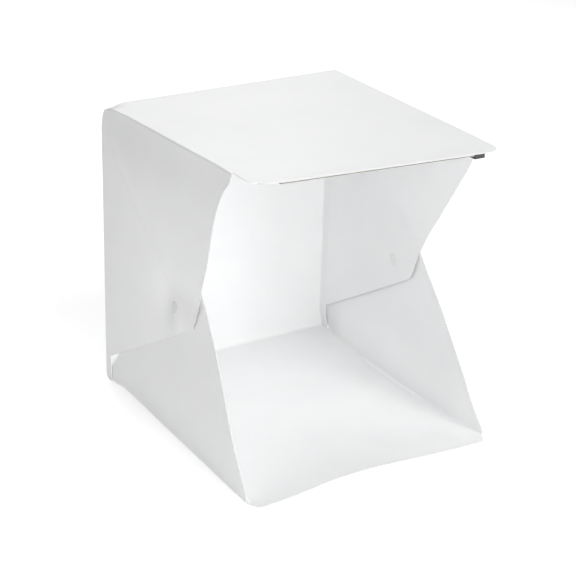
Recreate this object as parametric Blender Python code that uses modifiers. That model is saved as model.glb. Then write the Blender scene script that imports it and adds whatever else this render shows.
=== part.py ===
"""Folding light tent cube: a floor, a back and a top of one creased white plastic sheet, with a
flap on each side of the floor, a reverse-folding gusset in each upper side, hidden magnets where
flap and gusset overlap, and a bar of white LEDs with its micro-USB socket under the top's front.

Metres, +Z up. The front is open and faces -Y. The origin is at the middle of the base."""

import math

import bmesh
import bpy
from mathutils import Matrix, Vector

MM = 0.001

# The sheet and the open tent
SHEET = 0.8 * MM
GAP = 0.3 * MM
PANEL_WIDTH = 213.2 * MM
FLOOR_DEPTH = 246.0 * MM
TOP_DEPTH = 238.0 * MM
HEIGHT = 242.0 * MM
FLOOR_CORNER = 8.0 * MM
TOP_CORNER = 12.0 * MM

# Creases: wide ones between floor, back and top, tight ones at the sides
BEND_RADIUS = 10.0 * MM
SIDE_BEND = 1.5 * MM
WIDE_STEPS = 10
TIGHT_STEPS = 5

# Where the creases turn when the tent is folded flat
BACK_AXIS_RISE = 3.2 * MM
FOLD_CLEARANCE = 0.8 * MM
PACK_ROOM = 8.0 * MM
TOP_AXIS_DROP = 3.3 * MM
FLAP_REST = 1.2 * MM

# The open top springs up a little beyond square
TOP_SPRING = math.radians(1.1)

# Side flaps that stand up from the floor
FLAP_TOP_DROP = 103.0 * MM
FLAP_REAR_INSET = 11.0 * MM
SHOULDER_RADIUS = 22.0 * MM
FLARE_RADIUS = 30.0 * MM
FOOT_RADIUS = 3.0 * MM
shoulder_shares = (0.399, 0.606)
flare_shares = (0.905, 0.248)
foot_share = 0.094

# Gussets that hang from the top's sides and the back's sides
GUSSET_REACH = 141.0 * MM
GUSSET_TOP_LENGTH = 208.0 * MM
GUSSET_FOOT_RISE = 17.5 * MM
GUSSET_TIP_RADIUS = 13.0 * MM
DIAGONAL_GAP = 0.6 * MM
GUSSET_CORNER_CUT = 9.0 * MM

# Magnet discs laminated into flap and gusset
MAGNET_DIAMETER = 10.0 * MM
MAGNET_FROM_BACK = 113.0 * MM
MAGNET_FROM_TOP = 134.0 * MM
MAGNET_SIDES = 32

# LED bar under the top's front edge
BAR_SETBACK = 1.0 * MM
BAR_SHIFT = 4.5 * MM
TAPE_THICKNESS = 0.4 * MM
TAPE_INSET = 0.8 * MM
BOARD_WIDTH = 10.0 * MM
BOARD_THICKNESS = 1.0 * MM
BOARD_CORNER = 1.0 * MM
BOARD_END = 1.5 * MM
BOARD_TAIL = 5.7 * MM
LED_COUNT = 20
LED_PITCH = 8.0 * MM
LED_LENGTH = 3.5 * MM
LED_WIDTH = 2.8 * MM
LED_HEIGHT = 0.8 * MM
LED_BEVEL = 0.15 * MM

# Micro-USB socket in its black housing, at the right end of the board
HOUSING_LENGTH = 9.0 * MM
HOUSING_WIDTH = 9.6 * MM
HOUSING_HEIGHT = 3.4 * MM
SHELL_DEPTH = 5.6 * MM
SHELL_WIDTH = 7.5 * MM
SHELL_HEIGHT = 2.4 * MM
SHELL_WALL = 0.3 * MM
SHELL_TAPER = 0.8 * MM
TONGUE_WIDTH = 3.8 * MM
TONGUE_THICKNESS = 0.6 * MM
TONGUE_BASE = 1.2 * MM
TONGUE_RECESS = 0.8 * MM
TONGUE_DROP = 0.35 * MM
CONTACT_COUNT = 5
CONTACT_PITCH = 0.65 * MM
CONTACT_WIDTH = 0.35 * MM
CONTACT_THICKNESS = 0.15 * MM
CONTACT_GAP = 0.1 * MM
CUT_OVERRUN = 2.0 * MM

# Worked out from the values above
HALF_PANEL = PANEL_WIDTH / 2
HALF_SHEET_WIDTH = HALF_PANEL - GAP
FRONT = -FLOOR_DEPTH / 2
BACK = FLOOR_DEPTH / 2
TOP_FRONT = BACK - TOP_DEPTH
UNDERSIDE = HEIGHT - SHEET
FLAP_FRONT = FRONT + FLOOR_CORNER
FLAP_HEIGHT = HEIGHT - FLAP_TOP_DROP
FLAP_REAR = BACK - FLAP_REAR_INSET
LAYER_STEP = SHEET + GAP
MAGNET_PLACE = (BACK - MAGNET_FROM_BACK, HEIGHT - MAGNET_FROM_TOP)

# Directions of a plate: lying, standing along the side, standing across the back
LYING = (0, 0, 0)
ALONG_SIDE = (math.pi / 2, 0, math.pi / 2)
ACROSS = (math.pi / 2, 0, 0)

# Base colour, roughness and metallic value of each material
SHEET_LOOK = ((0.86, 0.87, 0.88), 0.45, 0.0)
TAPE_LOOK = ((0.80, 0.80, 0.78), 0.85, 0.0)
BOARD_LOOK = ((0.88, 0.89, 0.87), 0.40, 0.0)
CHIP_LOOK = ((0.93, 0.86, 0.45), 0.35, 0.0)
BLACK_LOOK = ((0.015, 0.015, 0.017), 0.45, 0.0)
STEEL_LOOK = ((0.62, 0.63, 0.65), 0.28, 1.0)
GOLD_LOOK = ((0.85, 0.62, 0.22), 0.25, 1.0)


def clear_scene():
    for old in list(bpy.data.objects):
        bpy.data.objects.remove(old, do_unlink=True)


def new_collection(name):
    made = bpy.data.collections.new(name)
    bpy.context.scene.collection.children.link(made)
    return made


def material(name, look):
    colour, roughness, metallic = look
    made = bpy.data.materials.new(name)
    made.use_nodes = True
    shader = made.node_tree.nodes["Principled BSDF"]
    shader.inputs["Base Color"].default_value = (*colour, 1.0)
    shader.inputs["Roughness"].default_value = roughness
    shader.inputs["Metallic"].default_value = metallic
    made.diffuse_color = (*colour, 1.0)
    return made


def hang(made, position, carrier):
    """Puts an object at a place in the tent, parented to the empty that carries it."""
    if carrier is None:
        made.location = position
    else:
        made.parent = carrier
        made.location = Vector(position) - Vector(carrier["place"])


def fold_axis(name, position, carrier=None):
    """An empty on a crease's axis. Whatever the fold moves is parented to it."""
    empty = bpy.data.objects.new(name, None)
    empty["place"] = tuple(position)
    parts.objects.link(empty)
    hang(empty, position, carrier)
    return empty


def rounded(corners, steps=8):
    """An outline whose corners, each (u, v, radius), are turned into arcs."""
    points = []
    for i, (u, v, radius) in enumerate(corners):
        here = Vector((u, v))
        if not radius:
            points.append(here)
            continue
        before = (Vector(corners[i - 1][:2]) - here).normalized()
        after = (Vector(corners[(i + 1) % len(corners)][:2]) - here).normalized()
        half = before.angle(after) / 2
        middle = here + (before + after).normalized() * radius / math.sin(half)
        first = here + before * radius / math.tan(half) - middle
        last = here + after * radius / math.tan(half) - middle
        sweep = math.atan2(first.cross(last), first.dot(last))
        for k in range(steps + 1):
            points.append(middle + Matrix.Rotation(sweep * k / steps, 2) @ first)
    return points


def circle(centre, diameter):
    turn = math.tau / MAGNET_SIDES
    spokes = [Vector((math.cos(turn * k), math.sin(turn * k))) for k in range(MAGNET_SIDES)]
    return [Vector(centre) + spoke * diameter / 2 for spoke in spokes]


def beyond(points, place, direction):
    """The part of an outline beyond a line through place, on the side that direction points to."""
    kept = []
    for here, following in zip(points, points[1:] + points[:1]):
        a = (here - Vector(place)).dot(Vector(direction))
        b = (following - Vector(place)).dot(Vector(direction))
        if a >= 0:
            kept.append(here)
        if (a >= 0) != (b >= 0):
            kept.append(here.lerp(following, a / (a - b)))
    return kept


def bend(outer, quarter, steps):
    """The cross-section of a sheet bent through one quarter of a circle of that outer radius."""
    angles = [math.pi / 2 * (quarter + k / steps) for k in range(steps + 1)]
    spokes = [Vector((math.cos(a), math.sin(a))) for a in angles]
    return [s * outer for s in spokes] + [s * (outer - SHEET) for s in reversed(spokes)]


def plate(name, outlines, thickness, position, turn, look, carrier=None):
    """A flat piece: its edge, then any holes in it, as outlines. Its mid-plane is at position."""
    shape = bpy.data.curves.new(name, "CURVE")
    shape.dimensions = "2D"
    shape.fill_mode = "BOTH"
    shape.extrude = thickness / 2
    shape.materials.append(material(name + "_look", look))
    for outline in outlines:
        spline = shape.splines.new("POLY")
        spline.points.add(len(outline) - 1)
        for point, place in zip(spline.points, outline):
            point.co = (place[0], place[1], 0, 1)
        spline.use_cyclic_u = True
    made = bpy.data.objects.new(name, shape)
    made.rotation_euler = turn
    parts.objects.link(made)
    hang(made, position, carrier)
    return made


def block(name, size, position, look, carrier=None, bevel=0):
    mesh = bpy.data.meshes.new(name)
    form = bmesh.new()
    bmesh.ops.create_cube(form, size=1, matrix=Matrix.Diagonal((*size, 1)))
    form.to_mesh(mesh)
    form.free()
    mesh.materials.append(material(name + "_look", look))
    made = bpy.data.objects.new(name, mesh)
    parts.objects.link(made)
    hang(made, position, carrier)
    if bevel:
        edges = made.modifiers.new("edges", "BEVEL")
        edges.width = bevel
        edges.segments = 1
    return made


def rectangle(width, height, radius=0):
    corners = [(-width / 2, -height / 2), (width / 2, -height / 2)]
    corners += [(width / 2, height / 2), (-width / 2, height / 2)]
    return rounded([(u, v, radius) for u, v in corners])


def side_bend(layer):
    """The outer radius of the crease that leads to the inner (0) or the outer (1) layer of a side."""
    return SIDE_BEND + layer * LAYER_STEP


def wall_face(layer):
    """How far the inner face of a side's layer lies from the middle of the tent."""
    return HALF_PANEL + side_bend(layer) - SHEET


def flap_outline(bottom):
    """A side flap seen from the side: sloped front edge, rounded top, rear edge that flares out."""
    length = FLAP_REAR - FLAP_FRONT

    def at(share):
        return FLAP_FRONT + share * length

    corners = [
        (FLAP_FRONT, 0, 0),
        (at(shoulder_shares[0]), FLAP_HEIGHT, SHOULDER_RADIUS),
        (at(shoulder_shares[1]), FLAP_HEIGHT, SHOULDER_RADIUS),
        (at(flare_shares[0]), flare_shares[1] * FLAP_HEIGHT, FLARE_RADIUS),
        (FLAP_REAR, foot_share * FLAP_HEIGHT, FOOT_RADIUS),
        (FLAP_REAR, 0, 0),
    ]
    return beyond(rounded(corners), (0, bottom), (0, 1))


def gusset_outline(radius, part):
    """A gusset's rear (1) or top (-1) triangle. The diagonal crease that parts them halves the
    angle at the tent's corner, which the top's spring opens beyond square."""
    corner = Vector((BACK, HEIGHT))
    opened = Matrix.Rotation(-part * TOP_SPRING / 2, 2)
    tip = corner + opened @ Vector((-GUSSET_REACH, -GUSSET_REACH))
    whole = rounded([
        (BACK, HEIGHT, 0),
        (BACK - GUSSET_TOP_LENGTH, HEIGHT, 0),
        (*tip, GUSSET_TIP_RADIUS),
        (BACK, GUSSET_FOOT_RISE, 0),
    ])
    whole = beyond(whole, corner - Vector((radius + GAP, 0)), (-1, 0))
    whole = beyond(whole, corner - Vector((0, radius + GAP)), (0, -1))
    whole = beyond(whole, corner - Vector((0, GUSSET_CORNER_CUT)), (-1, -1))
    across = opened @ Vector((part, -part)).normalized()
    return beyond(whole, corner + across * DIAGONAL_GAP / 2, across)


def make_floor():
    rear = BACK - BEND_RADIUS - GAP
    outline = rounded([
        (-HALF_SHEET_WIDTH, FRONT, FLOOR_CORNER),
        (HALF_SHEET_WIDTH, FRONT, FLOOR_CORNER),
        (HALF_SHEET_WIDTH, rear, 0),
        (-HALF_SHEET_WIDTH, rear, 0),
    ])
    plate("floor_panel", [outline], SHEET, (0, 0, SHEET / 2), LYING, SHEET_LOOK)
    middle = (0, BACK - BEND_RADIUS, BEND_RADIUS)
    section = bend(BEND_RADIUS, 3, WIDE_STEPS)
    plate("floor_back_crease", [section], 2 * HALF_SHEET_WIDTH, middle, ALONG_SIDE, SHEET_LOOK)


def make_back(back_axis):
    panel_height = HEIGHT - 2 * (BEND_RADIUS + GAP)
    outline = rectangle(2 * HALF_SHEET_WIDTH, panel_height)
    middle = (0, BACK - SHEET / 2, HEIGHT / 2)
    plate("back_panel", [outline], SHEET, middle, ACROSS, SHEET_LOOK, back_axis)
    middle = (0, BACK - BEND_RADIUS, HEIGHT - BEND_RADIUS)
    section = bend(BEND_RADIUS, 0, WIDE_STEPS)
    width = 2 * HALF_SHEET_WIDTH
    plate("back_top_crease", [section], width, middle, ALONG_SIDE, SHEET_LOOK, back_axis)


def make_top(top_axis):
    rear = BACK - BEND_RADIUS - GAP
    outline = rounded([
        (-HALF_SHEET_WIDTH, TOP_FRONT, TOP_CORNER),
        (HALF_SHEET_WIDTH, TOP_FRONT, TOP_CORNER),
        (HALF_SHEET_WIDTH, rear, 0),
        (-HALF_SHEET_WIDTH, rear, 0),
    ])
    middle = (0, 0, UNDERSIDE + SHEET / 2)
    plate("top_panel", [outline], SHEET, middle, LYING, SHEET_LOOK, top_axis)


def make_flap(name, side, layer):
    """A side flap on its crease, with a magnet in it. side is -1 on the left and 1 on the right."""
    radius = side_bend(layer)
    face = wall_face(layer)
    lift = (FLAP_REST + SHEET + layer * LAYER_STEP) / 2
    axis = fold_axis(name + "_axis", (side * (face + SHEET - lift), 0, lift))
    outlines = [flap_outline(radius + GAP), circle(MAGNET_PLACE, MAGNET_DIAMETER + 2 * GAP)]
    middle = (side * (face + SHEET / 2), 0, 0)
    plate(name, outlines, SHEET, middle, ALONG_SIDE, SHEET_LOOK, axis)
    disc = [circle(MAGNET_PLACE, MAGNET_DIAMETER)]
    plate(name + "_magnet", disc, SHEET, middle, ALONG_SIDE, STEEL_LOOK, axis)
    place = (side * HALF_PANEL, (FLAP_FRONT + FLAP_REAR) / 2, radius)
    section = bend(radius, 3 if side > 0 else 2, TIGHT_STEPS)
    plate(name + "_crease", [section], FLAP_REAR - FLAP_FRONT, place, ACROSS, SHEET_LOOK)


def make_gusset(name, side, layer, packed, back_axis, top_axis):
    """Both triangles of a gusset and their creases. packed holds each triangle's place, counted
    from the back, among the four that lie between back and top when the tent is folded flat."""
    radius = side_bend(layer)
    face = wall_face(layer)
    reach = radius / 2
    rear_face = BACK - SHEET - GAP - packed[0] * LAYER_STEP
    drop = PACK_ROOM - SHEET - (packed[1] + 1) * LAYER_STEP - SHEET
    rear_place = (side * (face - reach), rear_face + reach, 0)
    top_place = (side * (face - reach), 0, UNDERSIDE - drop + reach)
    rear_axis = fold_axis(name + "_rear_axis", rear_place, back_axis)
    front_axis = fold_axis(name + "_top_axis", top_place, top_axis)

    rear = gusset_outline(radius, 1)
    top = gusset_outline(radius, -1)
    hole = circle(MAGNET_PLACE, MAGNET_DIAMETER + 2 * GAP)
    disc = circle(MAGNET_PLACE, MAGNET_DIAMETER)
    middle = (side * (face + SHEET / 2), 0, 0)
    plate(name + "_rear", [rear, hole], SHEET, middle, ALONG_SIDE, SHEET_LOOK, rear_axis)
    plate(name + "_magnet", [disc], SHEET, middle, ALONG_SIDE, STEEL_LOOK, rear_axis)
    plate(name + "_top", [top], SHEET, middle, ALONG_SIDE, SHEET_LOOK, front_axis)

    quarter = 0 if side > 0 else 1
    high = HEIGHT - BEND_RADIUS - GAP
    place = (side * HALF_PANEL, BACK - radius, (GUSSET_FOOT_RISE + high) / 2)
    section = bend(radius, quarter, TIGHT_STEPS)
    length = high - GUSSET_FOOT_RISE
    plate(name + "_rear_crease", [section], length, place, LYING, SHEET_LOOK, back_axis)
    near = BACK - GUSSET_TOP_LENGTH
    far = BACK - BEND_RADIUS - GAP
    place = (side * HALF_PANEL, (near + far) / 2, HEIGHT - radius)
    plate(name + "_top_crease", [section], far - near, place, ACROSS, SHEET_LOOK, top_axis)


def make_led_bar(top_axis):
    """Foam tape, circuit board and LEDs. Returns where the socket goes, at the board's end."""
    row = LED_COUNT * LED_PITCH
    left = -row / 2 - BOARD_END - BAR_SHIFT
    right = row / 2 + BOARD_TAIL - BAR_SHIFT
    end = right + GAP + HOUSING_LENGTH
    middle_y = TOP_FRONT + BAR_SETBACK + BOARD_WIDTH / 2

    tape = rectangle(end - left - 2 * TAPE_INSET, BOARD_WIDTH - 2 * TAPE_INSET)
    place = ((left + end) / 2, middle_y, UNDERSIDE - GAP - TAPE_THICKNESS / 2)
    plate("led_tape", [tape], TAPE_THICKNESS, place, LYING, TAPE_LOOK, top_axis)

    board = rectangle(right - left, BOARD_WIDTH, BOARD_CORNER)
    ceiling = UNDERSIDE - GAP - TAPE_THICKNESS - GAP
    place = ((left + right) / 2, middle_y, ceiling - BOARD_THICKNESS / 2)
    plate("led_board", [board], BOARD_THICKNESS, place, LYING, BOARD_LOOK, top_axis)

    below = ceiling - BOARD_THICKNESS - GAP
    first = LED_PITCH / 2 - row / 2 - BAR_SHIFT
    chip = (LED_LENGTH, LED_WIDTH, LED_HEIGHT)
    for k in range(LED_COUNT):
        place = (first + k * LED_PITCH, middle_y, below - LED_HEIGHT / 2)
        block(f"led_{k + 1:02d}", chip, place, CHIP_LOOK, top_axis, LED_BEVEL)
    return end, middle_y, ceiling


def make_socket(top_axis, right, y, ceiling):
    """The black housing and, in its open end, the steel shell with its tongue and contacts."""
    z = ceiling - HOUSING_HEIGHT / 2
    housing_size = (HOUSING_LENGTH, HOUSING_WIDTH, HOUSING_HEIGHT)
    place = (right - HOUSING_LENGTH / 2, y, z)
    housing = block("socket_housing", housing_size, place, BLACK_LOOK, top_axis)

    depth = SHELL_DEPTH + GAP
    bore = (depth + CUT_OVERRUN, SHELL_WIDTH + 2 * GAP, SHELL_HEIGHT + 2 * GAP)
    place = (right + (CUT_OVERRUN - depth) / 2, y, z)
    cutter = block("socket_cutter", bore, place, BLACK_LOOK, top_axis)
    parts.objects.unlink(cutter)
    cutters.objects.link(cutter)
    cutter.hide_render = True
    cutter.display_type = "WIRE"
    cut = housing.modifiers.new("mouth", "BOOLEAN")
    cut.operation = "DIFFERENCE"
    cut.solver = "EXACT"
    cut.object = cutter

    def trapezoid(inset):
        half = SHELL_WIDTH / 2 - inset
        rise = SHELL_HEIGHT / 2 - inset
        taper = SHELL_TAPER
        return [
            Vector((-half, rise)),
            Vector((-half, taper - rise)),
            Vector((taper - half, -rise)),
            Vector((half - taper, -rise)),
            Vector((half, taper - rise)),
            Vector((half, rise)),
        ]

    shell = [trapezoid(0), trapezoid(SHELL_WALL)]
    place = (right - SHELL_DEPTH / 2, y, z)
    plate("usb_shell", shell, SHELL_DEPTH, place, ALONG_SIDE, STEEL_LOOK, top_axis)

    # The tongue's base fills the shell's rear, and its blade reaches towards the mouth
    rise = SHELL_HEIGHT / 2 - SHELL_WALL - CONTACT_GAP
    rear = -SHELL_DEPTH
    blade_top = rise - TONGUE_DROP
    blade_low = blade_top - TONGUE_THICKNESS
    tip = -TONGUE_RECESS
    root = rear + TONGUE_BASE
    profile = [
        Vector((rear, -rise)),
        Vector((root, -rise)),
        Vector((root, blade_low)),
        Vector((tip, blade_low)),
        Vector((tip, blade_top)),
        Vector((root, blade_top)),
        Vector((root, rise)),
        Vector((rear, rise)),
    ]
    place = (right, y, z)
    plate("usb_tongue", [profile], TONGUE_WIDTH, place, ACROSS, BLACK_LOOK, top_axis)

    length = tip - root - 2 * GAP
    contact = (length, CONTACT_WIDTH, CONTACT_THICKNESS)
    contact_x = right + (tip + root) / 2
    contact_z = z + blade_low - CONTACT_GAP - CONTACT_THICKNESS / 2
    first = y - (CONTACT_COUNT - 1) / 2 * CONTACT_PITCH
    for k in range(CONTACT_COUNT):
        place = (contact_x, first + k * CONTACT_PITCH, contact_z)
        block(f"usb_contact_{k + 1}", contact, place, GOLD_LOOK, top_axis)


clear_scene()
parts = new_collection("light_tent_cube")
cutters = new_collection("cutters")

# Room for the top to pass the floor's front edge decides how far the lower crease's axis is in
back_axis_inset = FLOOR_DEPTH + SHEET + FOLD_CLEARANCE + BACK_AXIS_RISE - HEIGHT
back_fold = fold_axis("back_fold_axis", (0, BACK - back_axis_inset, BACK_AXIS_RISE))
top_axis_y = BACK - PACK_ROOM + TOP_AXIS_DROP
top_fold = fold_axis("top_fold_axis", (0, top_axis_y, HEIGHT - TOP_AXIS_DROP), back_fold)
top_fold.rotation_euler.x = -TOP_SPRING

make_floor()
make_back(back_fold)
make_top(top_fold)
make_flap("left_flap", -1, 0)
make_flap("right_flap", 1, 1)
make_gusset("left_gusset", -1, 1, (1, 2), back_fold, top_fold)
make_gusset("right_gusset", 1, 0, (0, 3), back_fold, top_fold)
bar_end, bar_middle, tape_underside = make_led_bar(top_fold)
make_socket(top_fold, bar_end, bar_middle, tape_underside)
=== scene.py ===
"""The folding light tent as it stands in use: thin white plastic sheets that bow and lean a
little, their creases, the LED bar under the top's front edge, soft light and the camera."""

import math

import bmesh
import bpy
import numpy as np
from mathutils import Matrix, Vector


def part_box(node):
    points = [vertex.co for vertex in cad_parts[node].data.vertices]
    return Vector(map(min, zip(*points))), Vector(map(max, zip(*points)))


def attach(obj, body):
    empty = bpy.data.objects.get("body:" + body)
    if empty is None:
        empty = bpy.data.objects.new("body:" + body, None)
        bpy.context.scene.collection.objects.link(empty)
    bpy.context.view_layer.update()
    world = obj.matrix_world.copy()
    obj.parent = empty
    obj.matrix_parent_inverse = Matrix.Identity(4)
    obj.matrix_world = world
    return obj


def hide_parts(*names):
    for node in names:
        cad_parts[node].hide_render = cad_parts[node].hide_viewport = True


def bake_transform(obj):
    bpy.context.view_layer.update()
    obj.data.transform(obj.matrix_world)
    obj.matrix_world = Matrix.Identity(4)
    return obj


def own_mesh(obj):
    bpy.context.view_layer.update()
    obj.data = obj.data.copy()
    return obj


MM = 0.001
LEFT, RIGHT = -1, 1

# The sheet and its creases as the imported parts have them. Lengths are in millimetres, apart from
# those of the light and the camera
SHEET = 0.8
HALF_PANEL = 106.6
FRONT = -123.0
BACK = 123.0
HEIGHT = 242.0
TOP_FRONT = -115.0
BEND = 10.0
PANEL_REAR = BACK - BEND
SIDE_BEND = 1.5
LAYER_STEP = 1.1
FLOOR_CORNER = 8.0
TOP_CORNER = 12.0

# How finely the sheets are modelled, and how much their cut edges are rounded
CELL = 3.2
BAR_CELL = 2.5
EDGE_ROUNDING = 0.14
THIN_ROUNDING_SHARE = 0.4

# Side flaps: each corner's share of the length and of the height, and its radius
FLAP_FRONT = -115.0
FLAP_REAR = 112.0
FLAP_HEIGHT = 139.0
shoulders = (0.405, 1.0, 22.0), (0.606, 1.0, 22.0)
flap_corners = {
    LEFT: (*shoulders, (0.925, 0.262, 30.0), (1.012, 0.083, 3.0)),
    RIGHT: (*shoulders, (0.95, 0.265, 30.0), (1.034, 0.138, 2.0), (1.032, 0.014, 0.0)),
}

# Gussets: the tip's distance from back and from top, how much less it reaches forward on each
# side, and the lengths along top and back
GUSSET_REACH = 141.0
tip_trim = {LEFT: 0.2, RIGHT: 1.2}
GUSSET_TIP_RADIUS = 13.0
GUSSET_TOP_LENGTH = 208.0
GUSSET_BACK_LENGTH = 224.5
DIAGONAL_STEP = 4.0

# Places on the left gusset's bowed front edge, each with its distances from back and from top.
# The right one's front edge is straight
front_edge = {
    LEFT: (
        (207.5, 3),
        (205.2, 8),
        (201.4, 11),
        (197, 15),
        (192.6, 22),
        (188.4, 30),
        (182.4, 45),
        (177.7, 58),
        (170, 78),
    ),
    RIGHT: (),
}

# Magnets laminated into the sides
MAGNET_Y = 10.0
MAGNET_Z = 108.0
MAGNET_RADIUS = 5.6
MAGNET_PROUD = 0.22
COVER_TUCK = 0.03
COVER_SLOPE = 5.0

# The top's left front corner is lifted, and the back stands a little taller above mid-height
TOP_LIFT_LEFT = 9.8
TOP_LIFT_RIGHT = 0.7
LIFT_FADE = 95.0
REAR_RISE = 0.8
REAR_RISE_SPAN = 120.0, 230.0

# The floor's front edge arches, and the right side splays outward towards the front
ARCH_REAR = 40.0
ARCH_POWER = 1.6
RIGHT_SPLAY = 2.4

# The creases of the sides are soft: how much rounder or further in than tight ones they are,
# between which places they become so, and how far the sheets beside them are drawn along. At the
# floor they become so over a sixth of the flap at its front and a ninth at its rear
LEFT_CREASE_ROUNDER = 6.0
ROUNDER_POWER = 1.5
FLOOR_CREASE_INSET = 4.0
FLOOR_CREASE_BOW = 4.0
FLOOR_CREASE_FRONT = 6.0
FLOOR_CREASE_REAR = 9.0
BACK_CREASE_INSET = 2.5
BACK_CREASE_FOOT = 3.0, 18.0
BACK_CREASE_HEAD = HEIGHT - BEND, HEIGHT - BEND - 30.0
TOP_CREASE_INSET = 1.8
TOP_CREASE_REAR = PANEL_REAR, PANEL_REAR - 40.0
TOP_CREASE_FRONT = -100.0, -60.0
TOP_CREASE_RADIUS = 0.9
CREASE_REACH = 55.0
INSET_REACH = 42.0

# The crease of floor and back: its radius at its ends, how much rounder it is away from them, and
# how far it runs past the panels
FLOOR_BEND_RADIUS = 2.6
FLOOR_BEND_ROUNDER = 2.4
FLOOR_BEND_FADE = 60.0
PAST_LEFT = 1.6
PAST_RIGHT = 0.6

# Each upright crease has a second score line this far in front of the first
SCORE_STEP = 8.4
SCORE_HEAD = 1.5
score_foot = {LEFT: 3.0, RIGHT: 0.3}

# The corner over the left rear edge is pressed in
CORNER_SAG = 2.8
SAG_ALONG = 16.0
SAG_REACH = 24.0

# The right flap curls in at its front corner and loses a share of its bow towards its rear
CURL = 2.6
CURL_UP = 80.0, 145.0
CURL_FORWARD = 10.0, -30.0
BOW_LOSS = 0.6
BOW_LOSS_REARWARD = -30.0, 90.0

# How much further in than its flap a gusset may lie, each seen from its own layer, how softly it
# meets the flap's form, and how softly its two halves meet
gusset_room = {LEFT: 0.6, RIGHT: 0.7}
gusset_softness = {LEFT: 1.6, RIGHT: 2.0}
HALVES_SOFTNESS = 1.2

# Where a gusset stands outward, that fades out this near to back and top
OUTWARD_FROM_BACK = 45.0
OUTWARD_FROM_TOP = 20.0

# The left gusset bulges outward along its diagonal and around its magnet
RIDGE = 3.0
RIDGE_WIDTH = 55.0
RIDGE_LENGTH = 115.0
MAGNET_BULGE = 2.3
BULGE_WIDTH = 11.0
BULGE_HEIGHT = 15.0
BULGE_DROP = 4.0

# A groove runs beside each gusset's diagonal, wider on the top's side than on the back's
GROOVE_SHIFT = 4.0
GROOVE_WIDTHS = 7.0, 3.0
GROOVE_FADE = 25.0
GROOVE_LENGTH = 150.0
groove_depth = {LEFT: 0.9, RIGHT: 0.35}

# The magnets hold each gusset close to its flap
PULL_REACH = 24.0
HELD_CLOSER = 0.15

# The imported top's fold axis and how far it springs up beyond square
TOP_AXIS_Y = 118.3
TOP_SPRING = math.radians(1.1)

# LED bar
UNDERSIDE = 241.2
BAR_LEFT = -86.0
BOARD_RIGHT = 81.2
TAPE_RIGHT = 90.5
BAR_FRONT = -114.0
BAR_DEPTH = 10.0
BAR_GAP = 0.1
BAR_RAISED = 0.4
TAPE_THICKNESS = 0.4
TAPE_INSET = 2.0
TAPE_CORNER = 0.2
BOARD_THICKNESS = 1.0
BOARD_CORNER = 1.0

# LEDs: the case between the legs, the legs at its ends and the disc of phosphor below
LED_COUNT = 20
CASE_TRIM = 0.3
CASE_BEVEL = 0.12
LEG_LENGTH = 0.5
LEG_WIDTH_SHARE = 0.55
LEG_HEIGHT = 0.4
LEG_BEVEL = 0.05
PHOSPHOR_RADIUS = 1.15
PHOSPHOR_TAPER = 0.94
PHOSPHOR_DEPTH = 0.1
PHOSPHOR_DROP = 0.01
CASE_INDEX, PHOSPHOR_INDEX, LEG_INDEX = 0, 1, 2

# Share of the light that passes through the sheet, and how much darker cut edges and magnets are
# painted.
# Both are painted shade: on the cut edges for the shade on their thin faces, on the magnets for the
# shade each disc casts through the sheet
SHEET_GLOW = 0.06
CUT_EDGE_SHADE = 0.6
MAGNET_SHADE = 0.93

# Light and camera, in metres, watts and degrees
STAGE_HALF = 6.0
STAGE_GLOW = 0.32
WORLD_STRENGTH = 0.14
CAMERA_LENS = 103.407
CAMERA_PLACE = (-0.6440, -1.0167, 0.6459)
CAMERA_TURN = (65.887, -1.475, -31.439)

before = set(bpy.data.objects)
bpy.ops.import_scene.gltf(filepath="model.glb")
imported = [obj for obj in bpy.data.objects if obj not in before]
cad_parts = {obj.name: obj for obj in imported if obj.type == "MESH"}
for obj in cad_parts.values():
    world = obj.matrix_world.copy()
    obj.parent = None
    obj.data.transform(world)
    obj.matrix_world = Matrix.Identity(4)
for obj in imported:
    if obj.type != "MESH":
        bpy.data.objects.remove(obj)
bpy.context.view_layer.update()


# Shapes of edges


def rounded(corners, steps=8):
    """A closed outline whose corners, each (u, v, radius), are turned into arcs."""
    points = []
    for i, (u, v, radius) in enumerate(corners):
        here = Vector((u, v))
        if not radius:
            points.append(here)
            continue
        before = (Vector(corners[i - 1][:2]) - here).normalized()
        after = (Vector(corners[(i + 1) % len(corners)][:2]) - here).normalized()
        half = before.angle(after) / 2
        middle = here + (before + after).normalized() * radius / math.sin(half)
        first = here + before * radius / math.tan(half) - middle
        last = here + after * radius / math.tan(half) - middle
        sweep = math.atan2(first.cross(last), first.dot(last))
        for k in range(steps + 1):
            points.append(middle + Matrix.Rotation(sweep * k / steps, 2) @ first)
    return points


def beyond(points, place, direction):
    """The part of an outline beyond a line through place, on the side direction points to."""
    kept = []
    for here, following in zip(points, points[1:] + points[:1]):
        a = (here - Vector(place)).dot(Vector(direction))
        b = (following - Vector(place)).dot(Vector(direction))
        if a >= 0:
            kept.append(here)
        if (a >= 0) != (b >= 0):
            kept.append(here.lerp(following, a / (a - b)))
    return kept


def resampled(points, count):
    """A polyline as count + 1 points, equally far apart along it."""
    p = np.array([tuple(q) for q in points], float)
    length = np.concatenate([[0], np.cumsum(np.linalg.norm(np.diff(p, axis=0), axis=1))])
    at = np.linspace(0, length[-1], count + 1)
    return np.stack([np.interp(at, length, p[:, 0]), np.interp(at, length, p[:, 1])], axis=1)


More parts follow.
